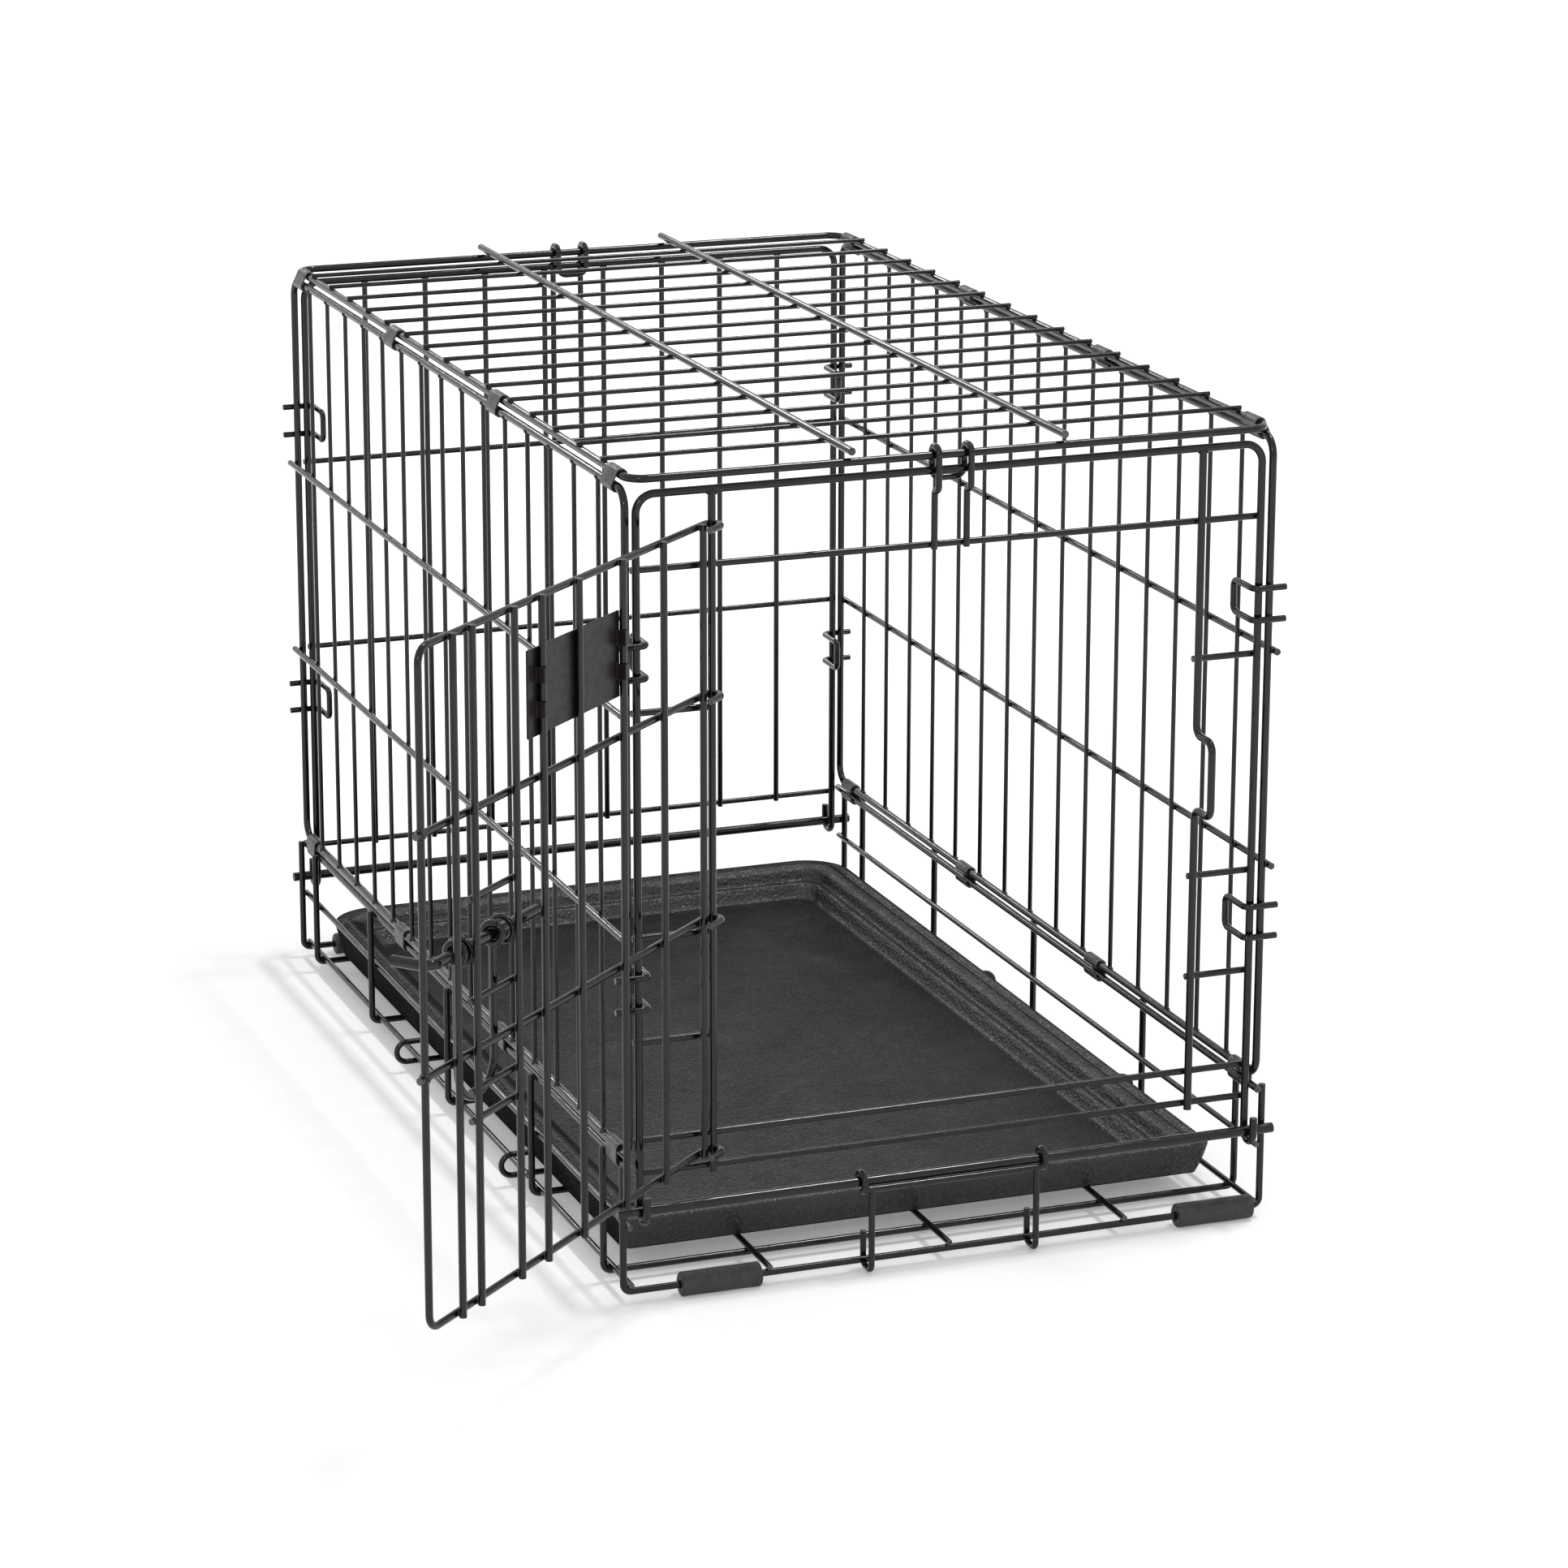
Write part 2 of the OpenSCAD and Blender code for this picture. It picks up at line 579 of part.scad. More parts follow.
// ---------- tray ----------
// Rim section: x is the distance in from the outer edge, y the height over the tray's underside
function rim() = let (h = tray_height, t = tray_sheet) [
  [rim_width, 0], [24, 0], [19.4, 7.7], [15.3, 7.7], [13, 13.3], [9, h - t], [5, h - t], [3.4, h - t - 1.2],
  [7.4, 0.3], [5.4, 0.3], [0.4, h - 1.6], [2.6, h], [10, h], [15, h - 2.4], [17, 7.7 + t], [20.5, 7.7 + t],
  [25, t], [rim_width, t]];
module rim_outline() polygon(rim());
module rim_run(l) rotate([90, 0, 90]) linear_extrude(height = l) rim_outline();
module tray() color("#3b3b3d") translate([0, y_tray, z_tray]) {
  w = tray_width / 2;
  l = tray_length;
  translate([-w + rim_width, rim_width, 0]) cube([tray_width - 2 * rim_width, l - 2 * rim_width, tray_sheet]);
  // front rim, mitred at both ends
  intersection() {
    translate([-w, 0, 0]) rim_run(tray_width);
    linear_extrude(height = 4 * tray_height, center = true)
      polygon([[-w, 0], [w, 0], [w - rim_width, rim_width], [-w + rim_width, rim_width]]);
  }
  for (s = [-1, 1]) {
    // side rims, mitred at the front
    intersection() {
      translate([s * w, s > 0 ? 0 : l - rim_width, 0]) rotate([0, 0, s * 90]) rim_run(l - rim_width);
      linear_extrude(height = 4 * tray_height, center = true)
        polygon([[s * w, 0], [s * (w - rim_width), rim_width],
                 [s * (w - rim_width), l - rim_width], [s * w, l - rim_width]]);
    }
    // rounded rear corners
    translate([s * (w - rim_width), l - rim_width, 0]) rotate([0, 0, s > 0 ? 0 : 90]) rotate_extrude(angle = 90)
      translate([rim_width, 0]) mirror([1, 0]) rim_outline();
  }
  translate([w - rim_width, l, 0]) rotate([0, 0, 180]) rim_run(tray_width - 2 * rim_width);
}

// ---------- tray stop ----------
// Swings on the front rail; its legs snap under the front wire of the base
e_stop = rh + stop_gap + rk;
y_stop = -y_rail - e_stop * cos(45);
z_stop = hinge_height - e_stop * sin(45);
x_curl = stop_width / 2 + curl_step;
module tray_stop() color("#2b2b2d") {
  y_back = -y_cross_end + ru + stop_gap + rk;
  z_low = z_floor - ru - stop_gap - rk;
  rod([-x_curl, y_stop, z_stop], [x_curl, y_stop, z_stop], rk);
  for (s = [-1, 1]) {
    x = s * stop_width / 2;
    wire([[x, y_stop, z_stop], [x, y_stop, z_low], [x, y_back, z_low], [x, y_back, stop_return]],
         0.96 * rk, [hook_bend, hook_bend]);
  }
}
// Curls at the ends of the stop's cross wire: forwards, over the rail and down behind it
module tray_stop_curls() color("#2b2b2d") for (s = [-1, 1])
  translate([s * x_curl, -y_rail, hinge_height]) rotate([90, 0, 90]) rotate([0, 0, 245])
    rotate_extrude(angle = -255) translate([e_stop, 0]) circle(r = rk);

front_hinge_rail();
rear_hinge_rail();
base_side_rails();
base_wall_wires();
base_cross_frames();
base_floor_wires();
base_hairpin_ties();
front_feet();
rear_feet();
left_side_frame();
left_side_uprights();
left_side_bars();
left_ring_hooks();
right_side_frame();
right_side_uprights();
right_side_bars();
right_ring_hooks();
roof_frame();
roof_cross_wires();
roof_long_wires();
left_base_clips();
right_base_clips();
left_roof_clips();
right_roof_clips();
front_frame();
front_full_bars();
front_left_bars();
front_right_bars();
hinge_post();
latch_post();
front_top_latch();
rear_frame();
rear_uprights();
rear_bars_set();
rear_top_latch();
door_frame();
door_horizontals();
door_upright_wires();
door_handle_bars();
bolt_guides();
name_plate();
bolt();
bolt_handle();
tray();
tray_stop();
tray_stop_curls();
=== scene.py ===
import json
import math

import bmesh
import bpy
import numpy as np
from mathutils import Matrix, Vector
from mathutils.bvhtree import BVHTree
from mathutils.geometry import intersect_ray_tri

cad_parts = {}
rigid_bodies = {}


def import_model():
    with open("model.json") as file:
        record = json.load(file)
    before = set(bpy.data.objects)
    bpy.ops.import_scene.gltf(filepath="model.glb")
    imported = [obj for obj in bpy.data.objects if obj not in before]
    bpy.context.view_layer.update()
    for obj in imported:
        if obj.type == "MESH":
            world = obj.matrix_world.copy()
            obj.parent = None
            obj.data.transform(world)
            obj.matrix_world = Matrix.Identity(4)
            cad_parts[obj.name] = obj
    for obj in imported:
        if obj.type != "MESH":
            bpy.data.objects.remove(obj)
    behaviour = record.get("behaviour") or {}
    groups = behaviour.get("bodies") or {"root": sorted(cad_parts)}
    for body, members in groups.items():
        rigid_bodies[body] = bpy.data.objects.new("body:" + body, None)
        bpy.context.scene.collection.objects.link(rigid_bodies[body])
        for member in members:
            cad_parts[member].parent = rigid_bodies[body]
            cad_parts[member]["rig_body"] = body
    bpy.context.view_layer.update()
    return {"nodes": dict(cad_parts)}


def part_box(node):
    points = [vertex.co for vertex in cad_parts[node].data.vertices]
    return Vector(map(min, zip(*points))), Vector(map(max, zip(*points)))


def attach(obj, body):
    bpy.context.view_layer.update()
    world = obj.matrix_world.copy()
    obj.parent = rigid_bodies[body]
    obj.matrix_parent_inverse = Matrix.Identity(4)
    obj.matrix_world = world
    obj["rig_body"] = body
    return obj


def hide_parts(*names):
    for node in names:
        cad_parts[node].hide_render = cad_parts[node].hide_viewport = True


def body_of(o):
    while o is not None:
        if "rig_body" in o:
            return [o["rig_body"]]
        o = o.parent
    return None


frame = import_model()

MM = 0.001
scene = bpy.context.scene
nodes = frame["nodes"]

# ---------------------------------------------------------------- camera
VIEW_AZIMUTH = math.radians(-20.38)
VIEW_ELEVATION = math.radians(15.46)
VIEW_DISTANCE = 2.627
VIEW_TARGET = Vector((0.0, 0.0, 0.1975))
SENSOR_WIDTH, LENS = 36.0, 116.07
SHIFT_X, SHIFT_Y = 0.024, -0.0422

back = Vector((
    math.sin(VIEW_AZIMUTH) * math.cos(VIEW_ELEVATION),
    -math.cos(VIEW_AZIMUTH) * math.cos(VIEW_ELEVATION),
    math.sin(VIEW_ELEVATION),
))
camera_data = bpy.data.cameras.new("camera")
camera_data.sensor_width = SENSOR_WIDTH
camera_data.lens = LENS
camera_data.shift_x = SHIFT_X
camera_data.shift_y = SHIFT_Y
camera_data.clip_start = 0.1
camera_data.clip_end = 50.0
camera = bpy.data.objects.new("camera", camera_data)
camera.location = VIEW_TARGET + VIEW_DISTANCE * back
camera.rotation_mode = "QUATERNION"
camera.rotation_quaternion = (-back).to_track_quat("-Z", "Y")
scene.collection.objects.link(camera)
scene.camera = camera


# ---------------------------------------------------------------- node tree helpers
def add(tree, kind, values=None, **settings):
    """A new node with its settings, and its sockets fed or set by name or index."""
    made = tree.nodes.new(kind)
    for name, value in settings.items():
        setattr(made, name, value)
    for key, value in (values or {}).items():
        feed(tree, made.inputs[key], value)
    return made


def feed(tree, socket, value):
    """Links an output to the socket, or sets the socket's own value."""
    if isinstance(value, bpy.types.NodeSocket):
        tree.links.new(value, socket)
    else:
        socket.default_value = value


def calc(tree, operation, *terms, clamp=False):
    """Output of a math node."""
    made = add(tree, "ShaderNodeMath", operation=operation, use_clamp=clamp)
    for socket, term in zip(made.inputs, terms):
        feed(tree, socket, term)
    return made.outputs[0]


def remap(tree, value, low, high, to_low=0.0, to_high=1.0, kind="SMOOTHSTEP"):
    """The value brought from low..high to to_low..to_high."""
    made = add(tree, "ShaderNodeMapRange", interpolation_type=kind)
    for socket, term in zip(made.inputs, (value, low, high, to_low, to_high)):
        feed(tree, socket, term)
    return made.outputs[0]


def blend_colours(tree, factor, first, second):
    """Mix of two colours; indices 0, 6 and 7 are the mix node's factor and its two colours."""
    made = add(tree, "ShaderNodeMix", data_type="RGBA")
    for index, term in ((0, factor), (6, first), (7, second)):
        feed(tree, made.inputs[index], term)
    return made.outputs[2]


def tint(tree, colour, mask, amount, other):
    """The colour, turned towards another one where the mask is high."""
    return blend_colours(tree, calc(tree, "MULTIPLY", mask, amount), colour, other)


def background_rays(tree):
    """1 for the rays that show the background: camera, glossy and transmission rays."""
    path = add(tree, "ShaderNodeLightPath").outputs
    seen = calc(tree, "ADD", path["Is Camera Ray"], path["Is Glossy Ray"], clamp=True)
    return calc(tree, "ADD", seen, path["Is Transmission Ray"], clamp=True)


def new_group(name, inputs, outputs, kind="ShaderNodeTree"):
    """An empty node group with named sockets; returns the tree and its two end nodes."""
    tree = bpy.data.node_groups.new(name, kind)
    for label, socket_type, default in inputs:
        made = tree.interface.new_socket(name=label, in_out="INPUT", socket_type=socket_type)
        if default is not None:
            made.default_value = default
    for label, socket_type in outputs:
        tree.interface.new_socket(name=label, in_out="OUTPUT", socket_type=socket_type)
    return tree, tree.nodes.new("NodeGroupInput"), tree.nodes.new("NodeGroupOutput")


def use_group(tree, group, **values):
    """Places a shared group; argument names are the group's input names with underscores."""
    made = add(tree, "ShaderNodeGroup", node_tree=group)
    for key, value in values.items():
        feed(tree, made.inputs[key.replace("_", " ")], value)
    return made.outputs


def rgba(*values):
    """A colour with full alpha."""
    return (*values, 1.0)


# ---------------------------------------------------------------- shared shading groups
def make_surface_grain():
    """Fine relief of a sprayed or dipped skin, with slow changes of tone and gloss."""
    tree, start, end = new_group(
        "surface grain",
        [("Place", "NodeSocketVector", None), ("Grain", "NodeSocketFloat", 900.0),
         ("Patches", "NodeSocketFloat", 60.0)],
        [("Height", "NodeSocketFloat"), ("Tone", "NodeSocketFloat"), ("Gloss", "NodeSocketFloat")],
    )
    at = start.outputs["Place"]
    fine = add(tree, "ShaderNodeTexNoise", {
        "Vector": at, "Scale": start.outputs["Grain"], "Detail": 3.0, "Roughness": 0.55})
    patch_scale = start.outputs["Patches"]
    tone = add(tree, "ShaderNodeTexNoise", {"Vector": at, "Scale": patch_scale, "Detail": 4.0})
    streak_scale = calc(tree, "MULTIPLY", patch_scale, 4.3)
    gloss = add(tree, "ShaderNodeTexNoise", {"Vector": at, "Scale": streak_scale, "Detail": 2.0})
    feed(tree, end.inputs["Height"], fine.outputs[0])
    feed(tree, end.inputs["Tone"], remap(tree, tone.outputs[0], 0.34, 0.68))
    feed(tree, end.inputs["Gloss"], remap(tree, gloss.outputs[0], 0.3, 0.7))
    return tree


def make_edge_wear_and_highlight():
    """Mask of the outer edges, broken up by a noise: edges that rub bare, and on the tray and clips a painted
    highlight.
    """
    tree, start, end = new_group(
        "edge wear and highlight",
        [("Place", "NodeSocketVector", None), ("Reach", "NodeSocketFloat", 0.0004),
         ("Breakup", "NodeSocketFloat", 700.0)],
        [("Mask", "NodeSocketFloat")],
    )
    soft = add(tree, "ShaderNodeBevel", {"Radius": start.outputs["Reach"]}, samples=4)
    true = add(tree, "ShaderNodeNewGeometry")
    dot = add(tree, "ShaderNodeVectorMath", {0: soft.outputs[0], 1: true.outputs["Normal"]},
              operation="DOT_PRODUCT")
    bend = calc(tree, "SUBTRACT", 1.0, dot.outputs["Value"])
    noise = add(tree, "ShaderNodeTexNoise", {
        "Vector": start.outputs["Place"], "Scale": start.outputs["Breakup"], "Detail": 3.0})
    breaks = remap(tree, noise.outputs[0], 0.35, 0.65, 0.25)
    feed(tree, end.inputs["Mask"], calc(tree, "MULTIPLY", remap(tree, bend, 0.02, 0.2), breaks))
    return tree


def make_settled_dust():
    """Mask of the thin dust that lies on faces turned upwards."""
    tree, start, end = new_group(
        "settled dust",
        [("Place", "NodeSocketVector", None), ("Spread", "NodeSocketFloat", 120.0)],
        [("Mask", "NodeSocketFloat")],
    )
    face = add(tree, "ShaderNodeNewGeometry")
    split = add(tree, "ShaderNodeSeparateXYZ", {0: face.outputs["Normal"]})
    up = remap(tree, split.outputs["Z"], 0.35, 1.0)
    cloud = add(tree, "ShaderNodeTexNoise", {
        "Vector": start.outputs["Place"], "Scale": start.outputs["Spread"], "Detail": 6.0, "Roughness": 0.7})
    feed(tree, end.inputs["Mask"], calc(tree, "MULTIPLY", up, remap(tree, cloud.outputs[0], 0.42, 0.72)))
    return tree


PEBBLE_SWAY = 0.9 * MM


def make_pebble():
    """Relief of spark-eroded moulding texture: rounded pebbles of two sizes."""
    tree, start, end = new_group(
        "moulded pebble",
        [("Place", "NodeSocketVector", None), ("Pebbles", "NodeSocketFloat", 620.0)],
        [("Height", "NodeSocketFloat"), ("Valley", "NodeSocketFloat")],
    )
    at, scale = start.outputs["Place"], start.outputs["Pebbles"]
    sway = add(tree, "ShaderNodeTexNoise", {"Vector": at, "Scale": scale, "Detail": 1.0})
    moved = add(tree, "ShaderNodeVectorMath", {0: sway.outputs["Color"], 1: (PEBBLE_SWAY,) * 3, 2: at},
                operation="MULTIPLY_ADD")
    cells = add(tree, "ShaderNodeTexVoronoi", {"Vector": moved.outputs[0], "Scale": scale, "Smoothness": 0.6},
                feature="SMOOTH_F1")
    small = add(tree, "ShaderNodeTexNoise", {
        "Vector": at, "Scale": calc(tree, "MULTIPLY", scale, 2.4), "Detail": 2.0})
    dome = remap(tree, cells.outputs["Distance"], 0.05, 0.65, 1.0, 0.0)
    height = calc(tree, "ADD", calc(tree, "MULTIPLY", dome, 0.75),
                  calc(tree, "MULTIPLY", small.outputs[0], 0.4))
    feed(tree, end.inputs["Height"], height)
    feed(tree, end.inputs["Valley"], remap(tree, height, 0.25, 0.6, 1.0, 0.0))
    return tree


GRAIN = make_surface_grain()
EDGE_WEAR_AND_HIGHLIGHT = make_edge_wear_and_highlight()
DUST = make_settled_dust()
PEBBLE = make_pebble()


# ---------------------------------------------------------------- materials
def new_material(name):
    """A material with one main shader; returns it, its tree, the shader and Object coordinates."""
    made = bpy.data.materials.new(name)
    made.use_nodes = True
    tree = made.node_tree
    tree.nodes.clear()
    shader = add(tree, "ShaderNodeBsdfPrincipled")
    add(tree, "ShaderNodeOutputMaterial", {"Surface": shader.outputs[0]})
    place = add(tree, "ShaderNodeTexCoord").outputs["Object"]
    return made, tree, shader, place


def finish_bump(tree, shader, height, strength, depth):
    """Feeds the relief to the shader's normal; the depth is in metres."""
    bump = add(tree, "ShaderNodeBump", {"Strength": strength, "Distance": depth, "Height": height})
    feed(tree, shader.inputs["Normal"], bump.outputs[0])


def edge_wear_and_highlight_mask(tree, place, reach, breakup):
    return use_group(tree, EDGE_WEAR_AND_HIGHLIGHT, Place=place, Reach=reach, Breakup=breakup)["Mask"]


def dust_mask(tree, place, spread):
    return use_group(tree, DUST, Place=place, Spread=spread)["Mask"]


def coated(name, dark, light, gloss, grain, relief, wear_colour, wear, dust):
    """Black dip coating over steel wire; gloss is the least and most roughness."""
    made, tree, shader, place = new_material(name)
    skin = use_group(tree, GRAIN, Place=place, Grain=grain, Patches=45.0)
    colour = blend_colours(tree, skin["Tone"], dark, light)
    film = dust_mask(tree, place, 160.0)
    colour = tint(tree, colour, film, dust, rgba(0.22, 0.21, 0.2))
    colour = tint(tree, colour, edge_wear_and_highlight_mask(tree, place, 0.5 * MM, 900.0), wear, wear_colour)
    rough = remap(tree, skin["Gloss"], 0.0, 1.0, *gloss, "LINEAR")
    rough = calc(tree, "ADD", rough, calc(tree, "MULTIPLY", film, 0.12))
    feed(tree, shader.inputs["Base Color"], colour)
    feed(tree, shader.inputs["Roughness"], rough)
    shader.inputs["IOR"].default_value = 1.42
    finish_bump(tree, shader, skin["Height"], relief, 0.05 * MM)
    return made


BLACK_COAT = coated(
    "black dip coat", rgba(0.003, 0.003, 0.0035), rgba(0.007, 0.0068, 0.0075), gloss=(0.09, 0.15),
    grain=900.0, relief=0.05, wear_colour=rgba(0.05, 0.05, 0.053), wear=0.35, dust=0.04)
# the cut-end caps are painted paler than the coat: a painted glint on the wire tips, with rims worn towards
# bare steel
CUT_END_PAINTED_GLINT = coated(
    "cut end with painted glint", rgba(0.05, 0.05, 0.052), rgba(0.11, 0.11, 0.112), gloss=(0.32, 0.5),
    grain=2600.0, relief=0.6, wear_colour=rgba(0.3, 0.3, 0.3), wear=0.5, dust=0.05)
WELD_COAT = coated(
    "coated weld", rgba(0.004, 0.004, 0.0045), rgba(0.009, 0.009, 0.0095), gloss=(0.16, 0.3),
    grain=2200.0, relief=0.5, wear_colour=rgba(0.07, 0.07, 0.07), wear=0.4, dust=0.05)


def make_clip_steel():
    """Rolled strip steel, blackened, its sheared edges rubbed towards bare steel and painted pale grey as a
    highlight on the rim.
    """
    made, tree, shader, place = new_material("blackened clip steel")
    skin = use_group(tree, GRAIN, Place=place, Grain=1800.0, Patches=130.0)
    rolled = add(tree, "ShaderNodeMapping", {"Vector": place, "Scale": (1.0, 0.06, 1.0)})
    lines = add(tree, "ShaderNodeTexNoise", {"Vector": rolled.outputs[0], "Scale": 2600.0, "Detail": 2.0})
    colour = blend_colours(tree, skin["Tone"], rgba(0.045, 0.045, 0.048), rgba(0.1, 0.1, 0.104))
    edges = edge_wear_and_highlight_mask(tree, place, 0.6 * MM, 1500.0)
    # the edges turned pale grey: partly rubbed bare steel, partly a painted highlight on the rim
    colour = blend_colours(tree, edges, colour, rgba(0.55, 0.55, 0.55))
    feed(tree, shader.inputs["Base Color"], colour)
    shader.inputs["Metallic"].default_value = 0.75
    rough = calc(tree, "ADD", remap(tree, skin["Gloss"], 0.0, 1.0, 0.28, 0.42, "LINEAR"),
                 calc(tree, "MULTIPLY", lines.outputs[0], 0.1))
    feed(tree, shader.inputs["Roughness"], rough)
    finish_bump(tree, shader, lines.outputs[0], 0.35, 0.04 * MM)
    return made


def make_tray_plastic():
    """Pebbled charcoal moulding with painted shade in the hollows between pebbles, a painted highlight along
    its edges and faint dust on faces turned upwards.
    """
    made, tree, shader, place = new_material("pebbled tray plastic")
    pebble = use_group(tree, PEBBLE, Place=place, Pebbles=520.0)
    skin = use_group(tree, GRAIN, Place=place, Grain=2400.0, Patches=22.0)
    colour = blend_colours(tree, skin["Tone"], rgba(0.024, 0.0235, 0.027), rgba(0.035, 0.0343, 0.039))
    # painted shade: darker in the hollows between the pebbles
    colour = tint(tree, colour, pebble["Valley"], 0.35, rgba(0.008, 0.008, 0.009))
    colour = tint(tree, colour, dust_mask(tree, place, 55.0), 0.04, rgba(0.3, 0.29, 0.27))
    # painted highlight: paler grey along the tray's edges
    colour = tint(tree, colour, edge_wear_and_highlight_mask(tree, place, 1.2 * MM, 450.0), 0.35, rgba(0.12, 0.12, 0.125))
    feed(tree, shader.inputs["Base Color"], colour)
    rough = calc(tree, "ADD", remap(tree, skin["Gloss"], 0.0, 1.0, 0.22, 0.32, "LINEAR"),
                 calc(tree, "MULTIPLY", pebble["Valley"], 0.14))
    feed(tree, shader.inputs["Roughness"], rough)
    # pebbles hide one another at a low angle, so the sheen fades towards grazing
    facing = add(tree, "ShaderNodeLayerWeight", {"Blend": 0.5}).outputs["Facing"]
    feed(tree, shader.inputs["Specular IOR Level"], remap(tree, facing, 0.4, 0.73, 0.6, 0.0))
    shader.inputs["IOR"].default_value = 1.45
    finish_bump(tree, shader, pebble["Height"], 0.9, 0.5 * MM)
    return made


def make_sleeve_rubber():
    """Matt rubber with paler scuffs along its length."""
    made, tree, shader, place = new_material("matt sleeve rubber")
    skin = use_group(tree, GRAIN, Place=place, Grain=1300.0, Patches=150.0)
    along = add(tree, "ShaderNodeMapping", {"Vector": place, "Scale": (0.25, 1.0, 1.0)})
    rubs = add(tree, "ShaderNodeTexNoise", {
        "Vector": along.outputs[0], "Scale": 420.0, "Detail": 5.0, "Roughness": 0.65})
    scuffs = remap(tree, rubs.outputs[0], 0.58, 0.76)
    colour = blend_colours(tree, skin["Tone"], rgba(0.022, 0.022, 0.024), rgba(0.034, 0.034, 0.037))
    colour = tint(tree, colour, scuffs, 0.6, rgba(0.11, 0.11, 0.115))
    colour = tint(tree, colour, edge_wear_and_highlight_mask(tree, place, 0.9 * MM, 800.0), 0.4, rgba(0.13, 0.13, 0.13))
    feed(tree, shader.inputs["Base Color"], colour)
    feed(tree, shader.inputs["Roughness"], remap(tree, skin["Gloss"], 0.0, 1.0, 0.5, 0.68, "LINEAR"))
    relief = calc(tree, "ADD", skin["Height"], calc(tree, "MULTIPLY", scuffs, 0.6))
    finish_bump(tree, shader, relief, 0.5, 0.12 * MM)
    return made


def make_plate_plastic():
    """Satin brown-black moulding of the blank plate."""
    made, tree, shader, place = new_material("satin plate plastic")
    skin = use_group(tree, GRAIN, Place=place, Grain=2000.0, Patches=70.0)
    colour = blend_colours(tree, skin["Tone"], rgba(0.009, 0.0072, 0.0063), rgba(0.015, 0.0123, 0.011))
    colour = tint(tree, colour, edge_wear_and_highlight_mask(tree, place, 0.6 * MM, 700.0), 0.6, rgba(0.13, 0.12, 0.11))
    colour = tint(tree, colour, dust_mask(tree, place, 200.0), 0.15, rgba(0.25, 0.24, 0.22))
    feed(tree, shader.inputs["Base Color"], colour)
    feed(tree, shader.inputs["Roughness"], remap(tree, skin["Gloss"], 0.0, 1.0, 0.3, 0.42, "LINEAR"))
    shader.inputs["IOR"].default_value = 1.3
    finish_bump(tree, shader, skin["Height"], 0.4, 0.06 * MM)
    return made


CLIP_STEEL = make_clip_steel()
TRAY_PLASTIC = make_tray_plastic()
SLEEVE_RUBBER = make_sleeve_rubber()
PLATE_PLASTIC = make_plate_plastic()
FINISHES = {"black_wire": BLACK_COAT, "clip_steel": CLIP_STEEL, "foot_rubber": SLEEVE_RUBBER,
            "tray_plastic": TRAY_PLASTIC, "plate_plastic": PLATE_PLASTIC}

node_slot = {name: obj.material_slots[0].material.name.split(".")[0] for name, obj in nodes.items()}
for name, obj in nodes.items():
    for held in obj.material_slots:
        held.material = FINISHES[node_slot[name]]


# ---------------------------------------------------------------- CAD skins that get soft edges
def make_skin_join():
    """Joins a node's loose triangles and marks its sharp edges, ready for a bevel."""
    tree, start, end = new_group(
        "joined skin",
        [("Geometry", "NodeSocketGeometry", None), ("Reach", "NodeSocketFloat", 0.00002),
         ("Sharp Above", "NodeSocketFloat", 0.6)],
        [("Geometry", "NodeSocketGeometry")], "GeometryNodeTree",
    )
    joined = add(tree, "GeometryNodeMergeByDistance", {"Geometry": start.outputs["Geometry"],
                                                       "Distance": start.outputs["Reach"]})
    angle = add(tree, "GeometryNodeInputMeshEdgeAngle")
    smooth = add(tree, "FunctionNodeCompare", data_type="FLOAT", operation="LESS_THAN")
    feed(tree, smooth.inputs[0], angle.outputs["Unsigned Angle"])
    feed(tree, smooth.inputs[1], start.outputs["Sharp Above"])
    shaded = add(tree, "GeometryNodeSetShadeSmooth", {"Geometry": joined.outputs[0],
                                                      "Shade Smooth": smooth.outputs[0]}, domain="EDGE")
    feed(tree, end.inputs["Geometry"], shaded.outputs[0])
    return tree


SKIN_JOIN = make_skin_join()


def soften(obj, width):
    """Rounds the sharp edges of a CAD skin with live modifiers."""
    skin = obj.modifiers.new("joined skin", "NODES")
    skin.node_group = SKIN_JOIN
    rounding = obj.modifiers.new("rounded edges", "BEVEL")
    rounding.width = width
    rounding.segments = 2
    rounding.limit_method = "ANGLE"
    rounding.angle_limit = math.radians(40)


CLIP_ROUNDING, PLATE_ROUNDING = 0.25 * MM, 0.3 * MM
for name in ("left_base_clips", "right_base_clips", "left_roof_clips", "right_roof_clips"):
    soften(nodes[name], CLIP_ROUNDING)
soften(nodes["name_plate"], PLATE_ROUNDING)


# ---------------------------------------------------------------- welds and cut ends
MERGE_REACH = 0.02 * MM
# a cut end is a round flat face: its least number of triangles, its widest radius, how far the
# radius may vary and how alike its triangles' directions are
END_FACES, END_RADIUS, END_ROUNDNESS, END_FLATNESS = 8, 3 * MM, 0.04, 0.99995
DOME = 0.14
# crossing points closer than this are one weld; a weld has more points than the least
WELD_REACH, WELD_LEAST = 3.2 * MM, 5
WELD_PAD, WELD_PAD_THICK = 0.7 * MM, 0.85 * MM
WELD_LUMPS = 0.45 * MM


def solid_skin(obj):
    """A joined copy of a node's mesh, to measure; the node itself is left alone."""
    made = bmesh.new()
    made.from_mesh(obj.data)
    bmesh.ops.remove_doubles(made, verts=made.verts, dist=MERGE_REACH)
    made.normal_update()
    made.faces.ensure_lookup_table()
    return made


